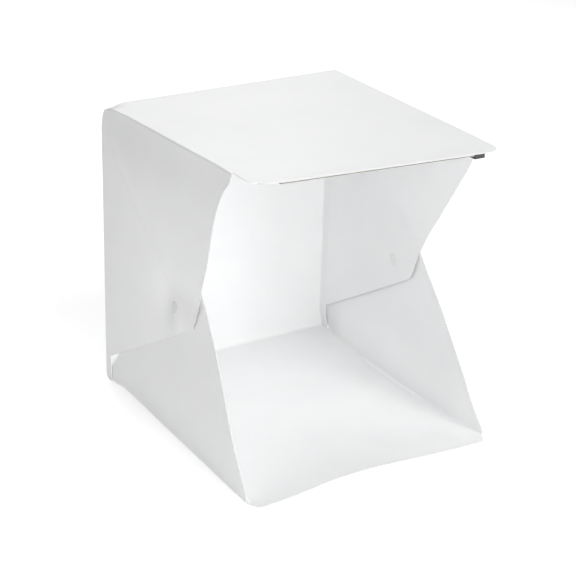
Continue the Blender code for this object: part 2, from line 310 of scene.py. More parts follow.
def patch(outline, corners, cell=CELL):
    """A grid of points that fills an outline, between the four outline points nearest to corners."""
    p = np.array([tuple(q) for q in outline], float)
    index = [int(np.argmin(np.linalg.norm(p - np.array(c), axis=1))) for c in corners]
    sides = []
    for a, b in zip(index, index[1:] + index[:1]):
        order = list(range(a, b + 1)) if b > a else list(range(a, len(p))) + list(range(b + 1))
        sides.append(p[order])

    def length(side):
        return np.linalg.norm(np.diff(side, axis=0), axis=1).sum()

    across = max(2, round(max(length(sides[0]), length(sides[2])) / cell))
    along = max(2, round(max(length(sides[1]), length(sides[3])) / cell))
    low = resampled(sides[0], across)
    right = resampled(sides[1], along)
    high = resampled(sides[2], across)[::-1]
    left = resampled(sides[3], along)[::-1]
    s = np.linspace(0, 1, across + 1)[None, :, None]
    t = np.linspace(0, 1, along + 1)[:, None, None]
    grid = (1 - t) * low[None] + t * high[None] + (1 - s) * left[:, None] + s * right[:, None]
    grid -= (1 - s) * (1 - t) * low[0] + s * (1 - t) * low[-1]
    grid -= (1 - s) * t * high[0] + s * t * high[-1]
    return grid


def strip(u_first, u_last, v_first, v_last, across, along):
    """A plain rectangular grid in u and v."""
    u = np.linspace(u_first, u_last, across + 1)
    v = np.linspace(v_first, v_last, along + 1)
    return np.stack(np.meshgrid(u, v), axis=2)


def smooth_curve(knots):
    """A smooth function through (place, value) knots, level beyond the last one."""
    x = np.array([k[0] for k in knots], float)
    y = np.array([k[1] for k in knots], float)
    slope = np.gradient(y, x)

    def value(at):
        at = np.clip(at, x[0], x[-1])
        i = np.clip(np.searchsorted(x, at, side="right") - 1, 0, len(x) - 2)
        h = x[i + 1] - x[i]
        t = (at - x[i]) / h
        a = (1 + 2 * t) * (1 - t) ** 2 * y[i] + t * (1 - t) ** 2 * h * slope[i]
        return a + t * t * (3 - 2 * t) * y[i + 1] + t * t * (t - 1) * h * slope[i + 1]

    return value


def eased(at):
    """Rises smoothly from 0 to 1 as its argument does, and is level outside."""
    at = np.clip(at, 0, 1)
    return at * at * (3 - 2 * at)


def grows(at, first, last):
    """Rises smoothly from 0 at the first place to 1 at the last, and is level outside."""
    return eased((at - first) / (last - first))


def soft_least(a, b, width):
    """The lesser of two fields, with the line where they meet rounded off."""
    h = np.clip(0.5 + 0.5 * (b - a) / width, 0, 1)
    return b * (1 - h) + a * h - width * h * (1 - h)


# How each sheet stands in space


def lift(x, y):
    """The top's rise towards its front, where its left corner springs up and its right corner
    stays almost level."""
    forward = np.clip((PANEL_REAR - y) / (PANEL_REAR - TOP_FRONT), 0, None)
    share = (x + HALF_PANEL) / (2 * HALF_PANEL)
    return forward * (TOP_LIFT_LEFT * (1 - share) + TOP_LIFT_RIGHT * share)


def sprung(y):
    """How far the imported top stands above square."""
    return (TOP_AXIS_Y - y) * math.sin(TOP_SPRING)


def splay(y):
    """The right side stands a little further out towards the front."""
    return RIGHT_SPLAY * np.clip((PANEL_REAR - y) / (BACK - FRONT), 0, None)


# The rise of the floor's front edge at places along x
floor_arch = smooth_curve([
    (-106, 0), (-84, 0.7), (-63, 2.7), (-41, 5.3), (-19, 6.0), (2, 5.6), (24, 4.1), (46, 2.5),
    (67, 1.3), (89, 0.3), (107, 0),
])


def rise(x, y):
    """The middle of the floor's front edge arches off the table."""
    forward = np.clip((ARCH_REAR - y) / (ARCH_REAR - FRONT), 0, 1)
    return floor_arch(x) * forward ** ARCH_POWER


def across_share(u):
    """A place's share of the panels' width, from 0 at the left to 1 at the right."""
    return np.clip((u + HALF_PANEL) / (2 * HALF_PANEL), 0, 1)


def along_flap(y):
    """A place's share of the flaps' length, from 0 at the front to 1 at the rear."""
    return np.clip((y - FLAP_FRONT) / (FLAP_REAR - FLAP_FRONT), 0, 1)


def floor_rounding(side, y):
    """How much rounder the crease between floor and left flap is than a tight one."""
    if side == RIGHT:
        return 0 * y
    along = along_flap(y)
    rounder = LEFT_CREASE_ROUNDER * along ** ROUNDER_POWER
    return rounder * eased(along * FLOOR_CREASE_FRONT) * eased((1 - along) * FLOOR_CREASE_REAR)


def floor_inset(side, y):
    """How far in the crease between floor and right flap runs."""
    if side == LEFT:
        return 0 * y
    along = along_flap(y)
    inset = FLOOR_CREASE_INSET + FLOOR_CREASE_BOW * np.sin(math.pi * along)
    return inset * eased(along * FLOOR_CREASE_FRONT) * eased((1 - along) * FLOOR_CREASE_REAR)


def back_inset(side, z):
    """How far in the crease between back and right gusset runs."""
    if side == LEFT:
        return 0 * z
    return BACK_CREASE_INSET * grows(z, *BACK_CREASE_FOOT) * grows(z, *BACK_CREASE_HEAD)


def top_inset(side, y):
    """How far in the crease between top and left gusset runs."""
    if side == RIGHT:
        return 0 * y
    return TOP_CREASE_INSET * grows(y, *TOP_CREASE_REAR) * grows(y, *TOP_CREASE_FRONT)


def settled(x, y, z):
    """Presses in the corner over the left rear edge, and stands the back a little taller."""
    near = np.hypot(BACK - y, HEIGHT - z)
    sag = CORNER_SAG * eased((SAG_ALONG - HALF_PANEL - x) / SAG_ALONG) * eased(1 - near / SAG_REACH)
    rearward = np.clip((y - TOP_FRONT) / (BACK - TOP_FRONT), 0, 1)
    taller = REAR_RISE * grows(z, *REAR_RISE_SPAN) * rearward
    return x, y - sag, z - sag + taller


def top_surface(u, v):
    x = u + top_inset(LEFT, v) * (1 - across_share(u))
    return x, v, HEIGHT - SHEET / 2 + lift(u, v)


def floor_surface(u, v):
    share = across_share(u)
    x = u + (splay(v) - floor_inset(RIGHT, v)) * share + floor_rounding(LEFT, v) * (1 - share)
    return x, v, SHEET / 2 + rise(u, v)


def back_surface(u, v):
    return u - back_inset(RIGHT, v) * across_share(u), BACK - SHEET / 2 + 0 * u, v


def around_corner(v, straight, radius):
    """A path that runs straight, turns by a quarter and runs straight again, as v runs from 0 to
    1. Gives the way before the turn, the angle turned, and the way after it."""
    path = v * (2 * straight + radius * math.pi / 2)
    before = np.clip(path, None, straight)
    turn = np.clip((path - straight) / radius, 0, math.pi / 2)
    after = np.clip(path - straight - radius * math.pi / 2, 0, None)
    return before, turn, after


def floor_back_bend(u, v):
    """The crease of floor and back, tight at its ends. v runs from 0 to 1 across it."""
    from_end = HALF_PANEL - np.abs(u)
    radius = FLOOR_BEND_RADIUS + FLOOR_BEND_ROUNDER * eased(from_end / FLOOR_BEND_FADE)
    before, turn, after = around_corner(v, BEND - SHEET / 2 - radius, radius)
    y = PANEL_REAR + before + radius * np.sin(turn)
    z = SHEET / 2 + radius * (1 - np.cos(turn)) + after
    return u, y, z


def back_top_bend(u, v):
    """The crease of back and top. v is the angle turned across it."""
    radius = BEND - SHEET / 2
    return u, PANEL_REAR + radius * np.cos(v), HEIGHT - BEND + radius * np.sin(v)


def bend_radius(layer):
    """The outer radius of a side's crease. Layer 0 is the inner sheet and layer 1 the outer."""
    return SIDE_BEND + layer * LAYER_STEP


def wall(layer):
    """How far the middle of a side's sheet is from the middle of the tent, before it leans."""
    return HALF_PANEL + bend_radius(layer) - SHEET / 2


# How far a flap bows inward at heights above its crease
flap_bow = {
    LEFT: smooth_curve([
        (0, 0), (18, 0.5), (35, 1.2), (50, 2.5), (66, 4.4), (82, 6.1), (97, 7.5), (112, 8.3),
        (125, 8.7), (145, 9.3),
    ]),
    RIGHT: smooth_curve([(0, 0), (40, 2.0), (80, 4.0), (100, 5.0), (145, 7.2)]),
}


def flap_inward(side, y, z):
    """How far a flap has come inward at a place."""
    if side == LEFT:
        return flap_bow[side](z)
    curl = CURL * grows(z, *CURL_UP) * grows(y, *CURL_FORWARD)
    return flap_bow[side](z) * (1 - BOW_LOSS * grows(y, *BOW_LOSS_REARWARD)) + curl


def outward_foot(side, y, z):
    """The right side's splay, which fades out up the flap."""
    if side == LEFT:
        return 0 * y
    return splay(y) * np.clip(1 - z / FLAP_HEIGHT, 0, 1)


# How far a gusset leans inward at distances from the back, and from the top
rear_inward = {
    LEFT: smooth_curve([
        (0, 0), (15, 0.2), (30, 0.8), (45, 1.7), (60, 2.7), (80, 4.2), (100, 5.8), (113, 6.8),
        (128, 7.7), (141, 8.8), (170, 11.5),
    ]),
    RIGHT: smooth_curve([
        (0, 0), (30, 0.9), (45, 1.5), (60, 2.3), (80, 3.6), (100, 5.1), (120, 6.6), (141, 8.0),
        (170, 9.5),
    ]),
}
top_inward = {
    LEFT: smooth_curve([
        (0, 0), (15, -0.2), (30, 0.0), (45, 0.7), (58, 1.5), (78, 3.0), (93, 4.1), (107, 5.3),
        (121, 6.4), (134, 6.8), (141, 7.0), (170, 8.2),
    ]),
    RIGHT: smooth_curve([
        (0, 0), (10, -1.9), (22, -2.9), (46, -0.2), (72, 4.0), (90, 7.2), (98, 8.5), (104, 9.3),
        (113, 9.9), (141, 10.5), (170, 11),
    ]),
}


def gusset_inward(side, y, z):
    """How far a gusset has come inward at a place: the lean of its two halves, held back by its
    flap, the bulges, the groove and the magnet's pull. p and q are its distances from back and
    top."""
    p = BACK - y
    q = HEIGHT - z
    beside = flap_inward(side, y, z)
    inward = soft_least(rear_inward[side](p), top_inward[side](q), HALVES_SOFTNESS)
    inward = soft_least(inward, beside + gusset_room[side], gusset_softness[side])
    outward = inward * eased(p / OUTWARD_FROM_BACK) * eased(q / OUTWARD_FROM_TOP)
    inward = np.where(inward < 0, outward, inward)
    near = np.minimum(p, q)
    if side == LEFT:
        ridge = np.exp(-(((p - q) / RIDGE_WIDTH) ** 2))
        ridge = ridge * np.sin(math.pi * np.clip(near / RIDGE_LENGTH, 0, 1))
        inward = inward - RIDGE * ridge
    across = (q - p) / math.sqrt(2) - GROOVE_SHIFT
    groove = np.exp(-((across / np.where(across < 0, *GROOVE_WIDTHS)) ** 2))
    groove = groove * np.clip(near / GROOVE_FADE, 0, 1)
    groove = groove * np.clip((GROOVE_LENGTH - near) / GROOVE_FADE, 0, 1)
    inward = inward + groove_depth[side] * groove
    pull = np.exp(-(((y - MAGNET_Y) ** 2 + (z - MAGNET_Z) ** 2) / PULL_REACH**2))
    inward = inward + pull * (beside - side * HELD_CLOSER - inward)
    if side == LEFT:
        wide = (y - MAGNET_Y) / BULGE_WIDTH
        tall = (z - MAGNET_Z + BULGE_DROP) / BULGE_HEIGHT
        inward = inward - MAGNET_BULGE * np.exp(-(wide**2 + tall**2))
    return inward


def edge_lift(side, y, q, radius):
    """A gusset rides up with the top's edge, and less and less further down."""
    return lift(side * HALF_PANEL, y) * np.clip(1 - (q - radius) / LIFT_FADE, 0, 1)


def flap_surface(side, layer):
    """A flap above its crease. u is the place along it and v the height."""
    radius = bend_radius(layer)

    def surface(u, v):
        rounder = floor_rounding(side, u)
        inset = floor_inset(side, u) * (1 - eased((v - radius) / INSET_REACH))
        z = v + rounder * (1 - eased((v - radius) / CREASE_REACH))
        x = wall(layer) - inset - flap_inward(side, u, z - radius - rounder) + outward_foot(side, u, z)
        return side * x, u, z

    return surface


def flap_bend(side, layer):
    """The crease of floor and flap. v is the angle turned across it."""
    radius = bend_radius(layer)

    def surface(u, v):
        rounder = floor_rounding(side, u)
        middle = radius + rounder - SHEET / 2
        x = HALF_PANEL - rounder - floor_inset(side, u) + middle * np.sin(v) + outward_foot(side, u, 0)
        return side * x, u, radius + rounder - middle * np.cos(v)

    return surface


def gusset_surface(side, layer):
    """A gusset inside its creases. u is the place from front to back and v the height."""
    radius = bend_radius(layer)

    def surface(u, v):
        p, q = BACK - u, HEIGHT - v
        inset = back_inset(side, v) * (1 - eased((p - radius) / CREASE_REACH))
        inset = inset + top_inset(side, u) * (1 - eased((q - radius) / INSET_REACH))
        x = wall(layer) - inset - gusset_inward(side, u + radius, v + radius)
        return side * x, u, v + edge_lift(side, u, q, radius)

    return surface


def gusset_top_bend(side, layer):
    """The crease of top and gusset, with a tight turn. v runs from 0 to 1 across it."""
    radius = bend_radius(layer)
    straight = radius - SHEET / 2 - TOP_CREASE_RADIUS

    def surface(u, v):
        before, turn, after = around_corner(v, straight, TOP_CREASE_RADIUS)
        x = HALF_PANEL - top_inset(side, u) + before + TOP_CREASE_RADIUS * np.sin(turn)
        z = HEIGHT - SHEET / 2 - TOP_CREASE_RADIUS * (1 - np.cos(turn)) - after
        return side * x, u, z + edge_lift(side, u, radius, radius)

    return surface


def gusset_rear_bend(side, layer):
    """The crease of back and gusset, and the strip up to its second score line. u is the height,
    and v runs along the path across it, in millimetres. At its head the strip follows the curve of
    the crease between back and top."""
    radius = bend_radius(layer)
    middle = radius - SHEET / 2
    beside = gusset_surface(side, layer)

    def surface(u, v):
        turn = np.clip(v / middle, 0, math.pi / 2)
        run = np.clip(v - middle * math.pi / 2, 0, None)
        x = side * (HALF_PANEL - back_inset(side, u) + middle * np.sin(turn))
        y = BACK - radius + middle * np.cos(turn) - run
        strip_x, _, _ = beside(np.minimum(y, BACK - radius), u)
        score_y = BACK - radius - SCORE_STEP
        over = np.clip(u - (HEIGHT - BEND), 0, BEND)
        back_y = PANEL_REAR + np.sqrt(BEND**2 - over**2)
        y = score_y + (y - score_y) * (back_y - score_y) / (BACK - score_y)
        return np.where(run > 0, strip_x, x), y, u

    return surface


# Solids of thin sheet


def surface_points(surface, grid):
    """Points and unit normals of a surface over a grid."""
    u, v = grid[..., 0], grid[..., 1]
    step = 1e-3

    def at(a, b):
        return np.stack(np.broadcast_arrays(*settled(*surface(a, b))), axis=-1).astype(float)

    points = at(u, v)
    normals = np.cross(at(u + step, v) - at(u - step, v), at(u, v + step) - at(u, v - step))
    normals /= np.linalg.norm(normals, axis=-1, keepdims=True)
    return points, normals


def sheet(name, grid, surface, joined=(), scored=(), thickness=SHEET, cut_index=1):
    """A closed sheet along a surface. Its free edges are rounded. joined names the sides, low,
    right, high and left, that run on into another piece, and scored the ones that end at a score
    line. The other edges are cut, and take the material of cut_index, which on the white sheet is
    painted darker as the shade on these thin faces."""
    edge_u, edge_v = grid[0, 1] - grid[0, 0], grid[1, 0] - grid[0, 0]
    if edge_u[0] * edge_v[1] < edge_u[1] * edge_v[0]:
        grid = grid[:, ::-1]
        swapped = {"left": "right", "right": "left"}
        joined = [swapped.get(side, side) for side in joined]
        scored = [swapped.get(side, side) for side in scored]
    points, normals = surface_points(surface, grid)
    rows, columns = points.shape[:2]
    last_row, last_column = rows - 1, columns - 1
    ring = [(0, j) for j in range(last_column)]
    ring += [(i, last_column) for i in range(last_row)]
    ring += [(last_row, j) for j in range(last_column, 0, -1)]
    ring += [(i, 0) for i in range(last_row, 0, -1)]
    half = thickness / 2
    upper = points + normals * half
    lower = points - normals * half
    edge = np.array([points[k] for k in ring])
    up = np.array([normals[k] for k in ring])
    tangent = np.roll(edge, -1, axis=0) - np.roll(edge, 1, axis=0)
    outward = np.cross(tangent, up)
    outward /= np.linalg.norm(outward, axis=-1, keepdims=True)
    inset = np.full(len(ring), min(EDGE_ROUNDING, half * THIN_ROUNDING_SHARE))

    def lies_on(sides, i, j):
        return (
            ("low" in sides and i == 0)
            or ("high" in sides and i == last_row)
            or ("left" in sides and j == 0)
            or ("right" in sides and j == last_column)
        )

    for n, (i, j) in enumerate(ring):
        if lies_on(joined, i, j):
            inset[n] = 0
        upper[i, j] -= outward[n] * inset[n]
        lower[i, j] -= outward[n] * inset[n]

    count = rows * columns
    side_up = edge + up * (half - inset)[:, None]
    side_low = edge - up * (half - inset)[:, None]
    vertices = np.concatenate([upper.reshape(-1, 3), lower.reshape(-1, 3), side_up, side_low])
    faces, face_normals, cut = [], [], []
    flat = normals.reshape(-1, 3)
    for i in range(last_row):
        for j in range(last_column):
            a = i * columns + j
            quad = (a, a + 1, a + columns + 1, a + columns)
            faces.append(quad)
            face_normals.append([flat[k] for k in quad])
            back = quad[::-1]
            faces.append(tuple(count + k for k in back))
            face_normals.append([-flat[k] for k in back])
    size = len(ring)
    first_up, first_low = 2 * count, 2 * count + size
    for n, (i, j) in enumerate(ring):
        m = (n + 1) % size
        a, b = i * columns + j, ring[m][0] * columns + ring[m][1]
        su, sv = first_up + n, first_up + m
        lu, lv = first_low + n, first_low + m
        if inset[n] or inset[m]:
            if not (lies_on(scored, i, j) and lies_on(scored, *ring[m])):
                cut += range(len(faces), len(faces) + 3)
            faces.append((b, a, su, sv))
            face_normals.append([up[m], up[n], outward[n], outward[m]])
            faces.append((lv, lu, count + a, count + b))
            face_normals.append([outward[m], outward[n], -up[n], -up[m]])
            faces.append((sv, su, lu, lv))
        else:
            faces.append((b, a, count + a, count + b))
        face_normals.append([outward[m], outward[n], outward[n], outward[m]])
    made = solid(name, vertices, faces, face_normals)
    for k in cut:
        made.data.polygons[k].material_index = cut_index
    return made


def solid(name, vertices, faces, face_normals=None):
    """An object from points in millimetres, with the unused ones left out."""
    used = sorted({k for face in faces for k in face})
    number = {k: n for n, k in enumerate(used)}
    mesh = bpy.data.meshes.new(name)
    places = [tuple(vertices[k] * MM) for k in used]
    mesh.from_pydata(places, [], [[number[k] for k in face] for face in faces])
    mesh.polygons.foreach_set("use_smooth", [True] * len(mesh.polygons))
    if face_normals is not None:
        mesh.normals_split_custom_set([tuple(n) for face in face_normals for n in face])
    return placed(name, mesh)


def placed(name, data):
    """A new object in the scene."""
    made = bpy.data.objects.new(name, data)
    bpy.context.scene.collection.objects.link(made)
    return made


def mesh_from(form, name, scale=1.0):
    """A new mesh from a bmesh, which is freed. Its vertices and faces are sorted, so that each run
    gives the same mesh."""
    corners = sorted(form.verts, key=lambda v: tuple(v.co))
    number = {v: n for n, v in enumerate(corners)}
    faces = []
    for face in form.faces:
        ring = [number[v] for v in face.verts]
        start = ring.index(min(ring))
        faces.append((ring[start:] + ring[:start], face.material_index))
    faces.sort()
    mesh = bpy.data.meshes.new(name)
    mesh.from_pydata([tuple(v.co * scale) for v in corners], [], [ring for ring, _ in faces])
    mesh.polygons.foreach_set("material_index", [index for _, index in faces])
    form.free()
    return mesh


# Materials


class Nodes:
    """A material's node tree, with its Principled shader at hand."""

    def __init__(self, name, colour, roughness, metallic=0.0):
        self.made = bpy.data.materials.new(name)
        self.made.use_nodes = True
        self.tree = self.made.node_tree
        self.shader = self.tree.nodes["Principled BSDF"]
        self.shader.inputs["Base Color"].default_value = (*colour, 1)
        self.shader.inputs["Roughness"].default_value = roughness
        self.shader.inputs["Metallic"].default_value = metallic
        self.place = self.tree.nodes.new("ShaderNodeTexCoord").outputs["Object"]

    def add(self, kind, inputs=(), **settings):
        node = self.tree.nodes.new(kind)
        for key, value in settings.items():
            setattr(node, key, value)
        for key, value in dict(inputs).items():
            if isinstance(value, bpy.types.NodeSocket):
                self.tree.links.new(value, node.inputs[key])
            else:
                node.inputs[key].default_value = value
        return node

    def link(self, output, key):
        self.tree.links.new(output, self.shader.inputs[key])

    def noise(self, scale, detail=2.0, rough=0.5):
        inputs = {"Vector": self.place, "Scale": scale, "Detail": detail, "Roughness": rough}
        return self.add("ShaderNodeTexNoise", inputs).outputs["Fac"]

    def ranged(self, value, span, to_span=(0, 1)):
        inputs = {"Value": value, "From Min": span[0], "From Max": span[1]}
        inputs.update({"To Min": to_span[0], "To Max": to_span[1]})
        return self.add("ShaderNodeMapRange", inputs).outputs["Result"]

    def blend_colours(self, factor, first, second):
        node = self.add("ShaderNodeMix", data_type="RGBA")
        self.tree.links.new(factor, node.inputs["Factor"])
        for key, colour in (("A", first), ("B", second)):
            socket = [s for s in node.inputs if s.name == key and s.type == "RGBA"][0]
            if isinstance(colour, bpy.types.NodeSocket):
                self.tree.links.new(colour, socket)
            else:
                socket.default_value = (*colour, 1)
        return [s for s in node.outputs if s.type == "RGBA"][0]

    def bump(self, heights):
        """Bumps one after another, each (height, strength, distance)."""
        normal = None
        for height, strength, distance in heights:
            inputs = {"Height": height, "Strength": strength, "Distance": distance}
            if normal is not None:
                inputs["Normal"] = normal
            normal = self.add("ShaderNodeBump", inputs).outputs["Normal"]
        self.link(normal, "Normal")


def sheet_material(name="white_sheet", share=SHEET_GLOW, shade_tone=1.0):
    """Matt white polypropylene: a fine even grain, faint mottling and slight waves. share is the
    part of the light that it lets through, and the darkening factor makes it darker as painted
    shade, for the cut edges and for the skin over the magnets."""
    nodes = Nodes(name, (0.86, 0.865, 0.87), 0.45)
    mottle = nodes.ranged(nodes.noise(scale=22, detail=4, rough=0.6), (0.35, 0.65))
    dark = tuple(c * shade_tone for c in (0.852, 0.856, 0.860))
    light = tuple(c * shade_tone for c in (0.872, 0.874, 0.876))
    nodes.link(nodes.blend_colours(mottle, dark, light), "Base Color")
    sheen = nodes.noise(scale=160, detail=3, rough=0.6)
    nodes.link(nodes.ranged(sheen, (0.3, 0.7), (0.40, 0.52)), "Roughness")
    grain = nodes.noise(scale=1400, detail=3, rough=0.55)
    ripple = nodes.noise(scale=26)
    nodes.bump([(ripple, 0.25, 0.0012), (grain, 0.16, 0.00006)])
    glow = nodes.add("ShaderNodeBsdfTranslucent", {"Color": (0.93, 0.94, 0.95, 1)})
    surfaces = {"Fac": share, 1: nodes.shader.outputs[0], 2: glow.outputs[0]}
    mixed = nodes.add("ShaderNodeMixShader", surfaces)
    nodes.tree.links.new(mixed.outputs[0], nodes.tree.nodes["Material Output"].inputs["Surface"])
    return nodes.made


def board_material():
    """White solder mask on the faces, and darker bare edges: the tan of bare board, painted darker
    still as the shade in the gap under the top's front edge.
    """
    mask = (0.86, 0.87, 0.85)
    nodes = Nodes("board_white", mask, 0.35)
    normal = nodes.add("ShaderNodeNewGeometry").outputs["Normal"]
    upward = nodes.add("ShaderNodeSeparateXYZ", {"Vector": normal}).outputs["Z"]
    level = nodes.add("ShaderNodeMath", {0: upward}, operation="ABSOLUTE").outputs[0]
    # Bare edges: bare-board tan, painted darker as the shade in the gap under the top's edge
    bare_edge_shade = nodes.blend_colours(nodes.noise(scale=900), (0.15, 0.15, 0.13), (0.22, 0.21, 0.18))
    nodes.link(nodes.blend_colours(nodes.ranged(level, (0.5, 0.6)), bare_edge_shade, mask), "Base Color")
    nodes.bump([(nodes.noise(scale=500), 0.1, 0.0001)])
    return nodes.made


def speckled_material(
    name, colour, roughness, metallic=0.0, scale=600.0, share=0.06, relief=0.00004
):
    """One finish with fine variation in its colour, roughness and surface. share is how much the
    first two vary, and relief the height of the surface's grain in metres."""
    nodes = Nodes(name, colour, roughness, metallic)
    fine = nodes.noise(scale, detail=3, rough=0.6)
    dark = tuple(c * (1 - share) for c in colour)
    light = tuple(min(1, c * (1 + share)) for c in colour)
    nodes.link(nodes.blend_colours(nodes.ranged(fine, (0.3, 0.7)), dark, light), "Base Color")
    around = roughness * (1 - share), min(1, roughness * (1 + share))
    nodes.link(nodes.ranged(nodes.noise(scale / 4), (0.3, 0.7), around), "Roughness")
    nodes.bump([(fine, 0.3, relief)])
    return nodes.made


def dress(made, material, body=None, replaced=()):
    """Gives a piece its material and slot, the nodes it stands for and the body it rides on."""
    if made.data.materials:
        made.data.materials.clear()
    made.data.materials.append(material)
    # The white sheet's cut edges take a second material, painted darker as shade
    if material is white:
        made.data.materials.append(cut_edge_shade)
    if replaced:
        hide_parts(*replaced)
    if body:
        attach(made, body)
    return made


def settles(made):
    """Gives a piece a mesh of its own."""
    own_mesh(made)


white = sheet_material()
# Cut edges are painted darker, as the shade on their thin faces, and let no light through
cut_edge_shade = sheet_material("sheet_cut_edge", share=0.0, shade_tone=CUT_EDGE_SHADE)
board_look = board_material()
tape_look = speckled_material(
    "foam_tape", (0.78, 0.78, 0.76), 0.85, scale=1800, share=0.1, relief=0.0001
)
case_look = speckled_material("chip_case", (0.84, 0.84, 0.82), 0.4)
phosphor_look = speckled_material("chip_phosphor", (0.93, 0.80, 0.34), 0.3, share=0.04)
black_look = speckled_material("black_plastic", (0.016, 0.016, 0.018), 0.42, share=0.2)
steel_look = speckled_material("shell_steel", (0.60, 0.61, 0.63), 0.28, 1.0, share=0.05)
gold_look = speckled_material("contact_gold", (0.85, 0.62, 0.22), 0.25, 1.0, share=0.05)
# The skin over the magnets is painted darker, as the shade each disc casts through the sheet
magnet_shade_look = sheet_material("covered_magnet_shade", shade_tone=MAGNET_SHADE)


# Floor, back and top with the wide creases between them


def panel_grid(front, radius):
    """The grid of a panel whose two front corners are rounded."""
    corners = [
        (-HALF_PANEL, front),
        (HALF_PANEL, front),
        (HALF_PANEL, PANEL_REAR),
        (-HALF_PANEL, PANEL_REAR),
    ]
    outline = rounded([(*place, r) for place, r in zip(corners, (radius, radius, 0, 0))])
    return patch(outline, corners)


def make_panels():
    grid = panel_grid(FRONT, FLOOR_CORNER)
    made = sheet("floor_sheet", grid, floor_surface, joined=("high", "left", "right"))
    dress(made, white, "floor", ["floor_panel"])

    grid = panel_grid(TOP_FRONT, TOP_CORNER)
    made = sheet("top_sheet", grid, top_surface, joined=("high", "left", "right"))
    dress(made, white, "top", ["top_panel"])

    columns = round(2 * HALF_PANEL / CELL)
    grid = strip(-HALF_PANEL, HALF_PANEL, BEND, HEIGHT - BEND, columns, columns)
    made = sheet("back_sheet", grid, back_surface, joined=("low", "high", "left", "right"))
    dress(made, white, "back", ["back_panel"])

    grid = strip(-HALF_PANEL - PAST_LEFT, HALF_PANEL + PAST_RIGHT, 0, 1, across=columns, along=24)
    made = sheet("floor_back_bend", grid, floor_back_bend, joined=("low", "high"))
    dress(made, white, replaced=["floor_back_crease"])
    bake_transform(made)

    grid = strip(-HALF_PANEL, HALF_PANEL, 0, math.pi / 2, across=columns, along=14)
    sides = {"joined": ("low", "high"), "scored": ("left", "right")}
    made = sheet("back_top_bend", grid, back_top_bend, **sides)
    dress(made, white, replaced=["back_top_crease"])
    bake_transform(made)


# Side flaps and gussets


def make_flap(name, side, layer):
    """A side flap and the crease that joins it to the floor."""
    radius = bend_radius(layer)
    length = FLAP_REAR - FLAP_FRONT
    outline = [(FLAP_FRONT, 0, 0)]
    outline += [(FLAP_FRONT + a * length, b * FLAP_HEIGHT, r) for a, b, r in flap_corners[side]]
    outline += [(FLAP_REAR, 0, 0)]
    outline = beyond(rounded(outline, steps=12), (0, radius), (0, 1))
    front_share, _, _ = flap_corners[side][0]
    rear_share, _, _ = flap_corners[side][1]
    foot_y = FLAP_FRONT + front_share * length * radius / FLAP_HEIGHT
    corners = [
        (foot_y, radius),
        (FLAP_FRONT + front_share * length, FLAP_HEIGHT),
        (FLAP_FRONT + rear_share * length, FLAP_HEIGHT),
        (FLAP_REAR, radius),
    ]
    grid = patch(outline, corners)
    made = sheet(name + "_sheet", grid, flap_surface(side, layer), joined=("left",))
    dress(made, white, name, [name])
    settles(made)

    grid = strip(foot_y, FLAP_REAR, 0, math.pi / 2, across=round(length / CELL), along=8)
    made = sheet(name + "_bend", grid, flap_bend(side, layer), joined=("low", "high"))
    dress(made, white, replaced=[name + "_crease"])
    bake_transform(made)


def make_gusset(name, side, layer):
    """A gusset in two sheets that meet at its diagonal, and the creases at back and top."""
    radius = bend_radius(layer)
    corner = Vector((BACK, HEIGHT))
    whole = rounded([
        (BACK, HEIGHT, 0),
        (BACK - GUSSET_TOP_LENGTH, HEIGHT, 0),
        *((BACK - p, HEIGHT - q, 0) for p, q in front_edge[side]),
        (BACK - GUSSET_REACH + tip_trim[side], HEIGHT - GUSSET_REACH, GUSSET_TIP_RADIUS),
        (BACK, HEIGHT - GUSSET_BACK_LENGTH, 0),
    ])
    score_y = BACK - radius - SCORE_STEP
    score_z = HEIGHT - (BACK - score_y)
    whole = beyond(whole, (score_y, 0), (-1, 0))
    whole = beyond(whole, corner - Vector((0, radius)), (0, -1))
    across = Vector((1, -1)).normalized()
    tip = corner - Vector((GUSSET_REACH, GUSSET_REACH))
    surface = gusset_surface(side, layer)

    rear = beyond(whole, corner, across)
    on_score = [q for q in rear if abs(q[0] - score_y) < 1e-3]
    foot = min(on_score, key=lambda q: q[1])
    head = max(on_score, key=lambda q: q[1])
    on_diagonal = head - Vector((DIAGONAL_STEP, DIAGONAL_STEP))
    rear.insert(rear.index(head) + 1, on_diagonal)
    grid = patch(rear, [foot, head, on_diagonal, tip])
    sides = {"joined": ("right", "high"), "scored": ("low",)}
    made = sheet(name + "_rear_sheet", grid, surface, **sides)
    dress(made, white, name + "_rear", [name + "_rear"])
    settles(made)

    top = beyond(whole, corner, -across)
    corners = [
        (BACK - GUSSET_TOP_LENGTH, HEIGHT - radius),
        tip,
        (score_y, score_z),
        (score_y, HEIGHT - radius),
    ]
    sides = {"joined": ("right", "left"), "scored": ("high",)}
    made = sheet(name + "_top_sheet", patch(top, corners), surface, **sides)
    dress(made, white, name + "_top", [name + "_top"])
    settles(made)

    low, high = score_foot[side], HEIGHT - SCORE_HEAD
    path = (radius - SHEET / 2) * math.pi / 2 + SCORE_STEP
    grid = strip(low, high, 0, path, across=round((high - low) / CELL), along=14)
    sides = {"joined": ("low",), "scored": ("high", "right")}
    made = sheet(name + "_rear_bend", grid, gusset_rear_bend(side, layer), **sides)
    dress(made, white, replaced=[name + "_rear_crease"])
    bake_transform(made)

    near, far = BACK - GUSSET_TOP_LENGTH, PANEL_REAR
    grid = strip(near, far, 0, 1, across=round((far - near) / CELL), along=12)
    made = sheet(name + "_top_bend", grid, gusset_top_bend(side, layer), joined=("low", "high"))
    dress(made, white, replaced=[name + "_top_crease"])
    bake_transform(made)


